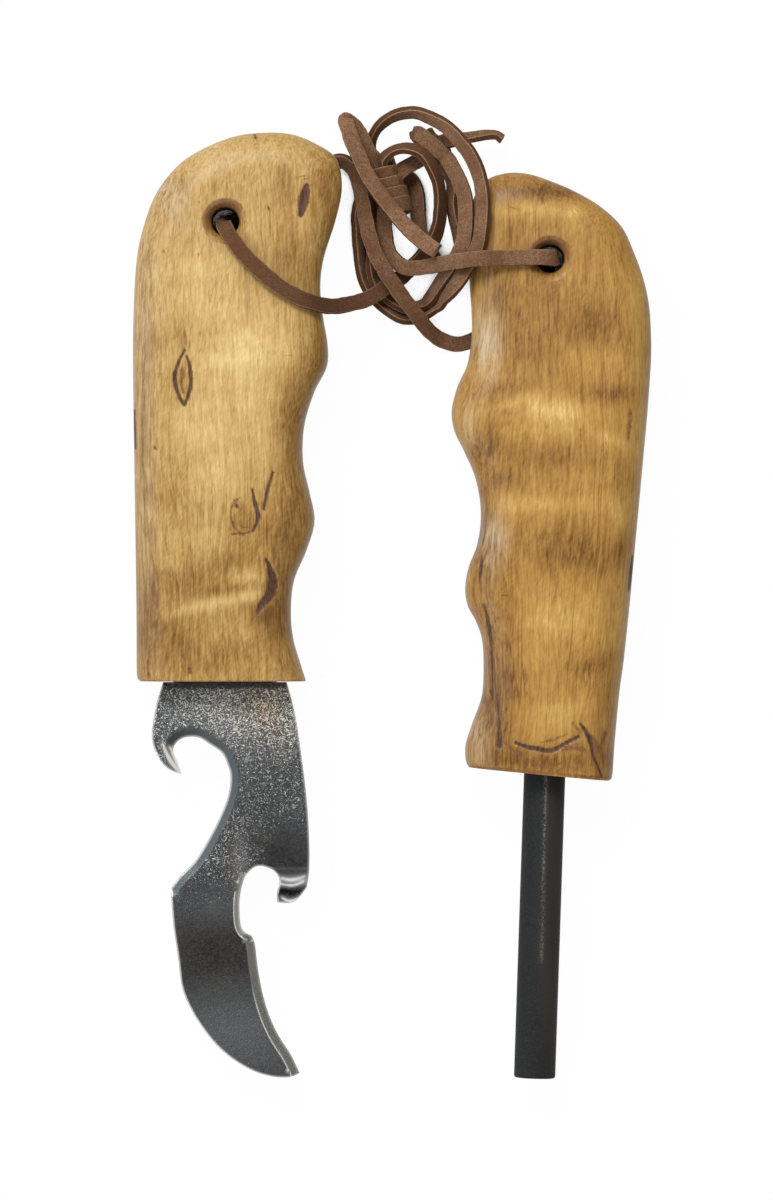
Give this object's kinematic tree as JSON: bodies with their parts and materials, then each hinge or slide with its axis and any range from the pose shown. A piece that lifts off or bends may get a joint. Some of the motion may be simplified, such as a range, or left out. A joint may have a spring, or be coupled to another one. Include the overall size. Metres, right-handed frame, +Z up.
{
  "type": "ferro rod fire starter",
  "caption": "Fire starter: a flat steel striker with bottle and can opener, and a ferro rod, each in a curly birch handle, tied together by one flat leather lace.",
  "frame": {"origin": "on the table under the middle of the footprint of the two handled tools", "axes": "+Y along the tools, from their working ends to the heads of their handles; +X from the striker tool to the ferro rod; +Z up from the table"},
  "size_m": [0.1001, 0.1878, 0.0187],
  "materials": {
    "birch": "oiled and polished curly birch with dark bark and knot marks",
    "steel": "tumbled grainy steel with a brown tint, smoother on the bevels",
    "ferro": "dark coated ferrocerium, satin",
    "epoxy": "cured glue, dark and glossy",
    "lace": "brown suede"
  },
  "bodies": {
    "lace": {"lace_back": "lace", "lace_tool_strand": "lace", "lace_rod_strand": "lace", "lace_outer_turn": "lace", "lace_inner_turn": "lace", "lace_link": "lace", "lace_long_tail": "lace", "lace_short_tail": "lace", "lace_knot_long": "lace", "lace_knot_short": "lace"},
    "striker_unit": {"tool_handle": "birch", "striker_plate": "steel", "tang_bedding": "epoxy"},
    "fire_rod_unit": {"rod_handle": "birch", "ferro_rod": "ferro", "rod_bedding": "epoxy"}
  },
  "joints": [
    {"name": "striker_swing", "type": "hinge", "parent": "lace", "child": "striker_unit", "pos_m": [-0.0321, 0.074, 0.009], "axis": [0, 0, 1], "range_deg": [-120, 0]},
    {"name": "rod_swing", "type": "hinge", "parent": "lace", "child": "fire_rod_unit", "pos_m": [0.0305, 0.0668, 0.009], "axis": [0, 0, 1], "range_deg": [-5, 120]}
  ]
}
